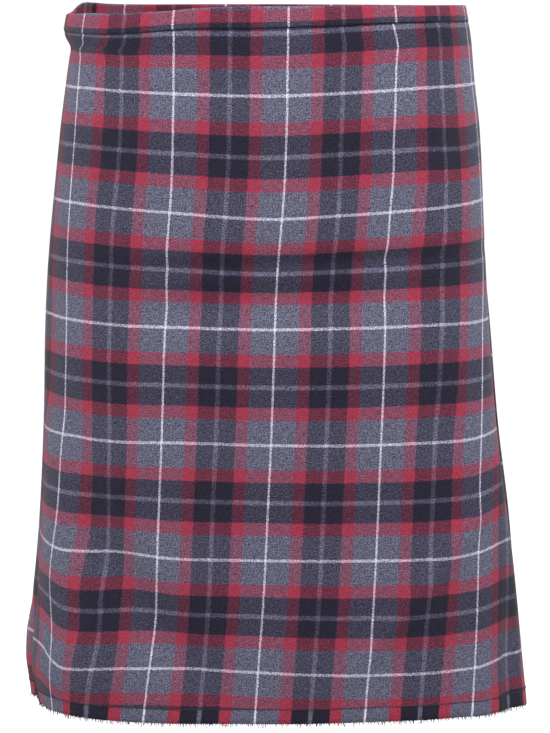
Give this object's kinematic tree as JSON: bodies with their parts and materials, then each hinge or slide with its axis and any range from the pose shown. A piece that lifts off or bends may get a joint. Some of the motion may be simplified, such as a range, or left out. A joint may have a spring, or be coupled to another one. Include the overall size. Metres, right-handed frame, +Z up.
{
  "type": "pleated tartan skirt",
  "caption": "Knee-length pleated tartan skirt, filled out as worn: flat front apron, knife-pleated back, narrow waistband that laps and buttons at the hip.",
  "frame": {"origin": "centre of the waist opening, level with the waistband's top edge at the middle of the front", "axes": "+Z up along the skirt's length, from the hem to the waist; -Y towards the front apron; +X to the right of someone who looks at the front"},
  "size_m": [0.4049, 0.2519, 0.5544],
  "materials": {
    "tartan_twill": "matte",
    "button_plastic": "satin"
  },
  "bodies": {
    "root": {"front_apron": "tartan_twill", "pleated_back": "tartan_twill", "waistband_front": "tartan_twill", "waistband_back": "tartan_twill", "hip_button": "button_plastic"}
  },
  "joints": []
}
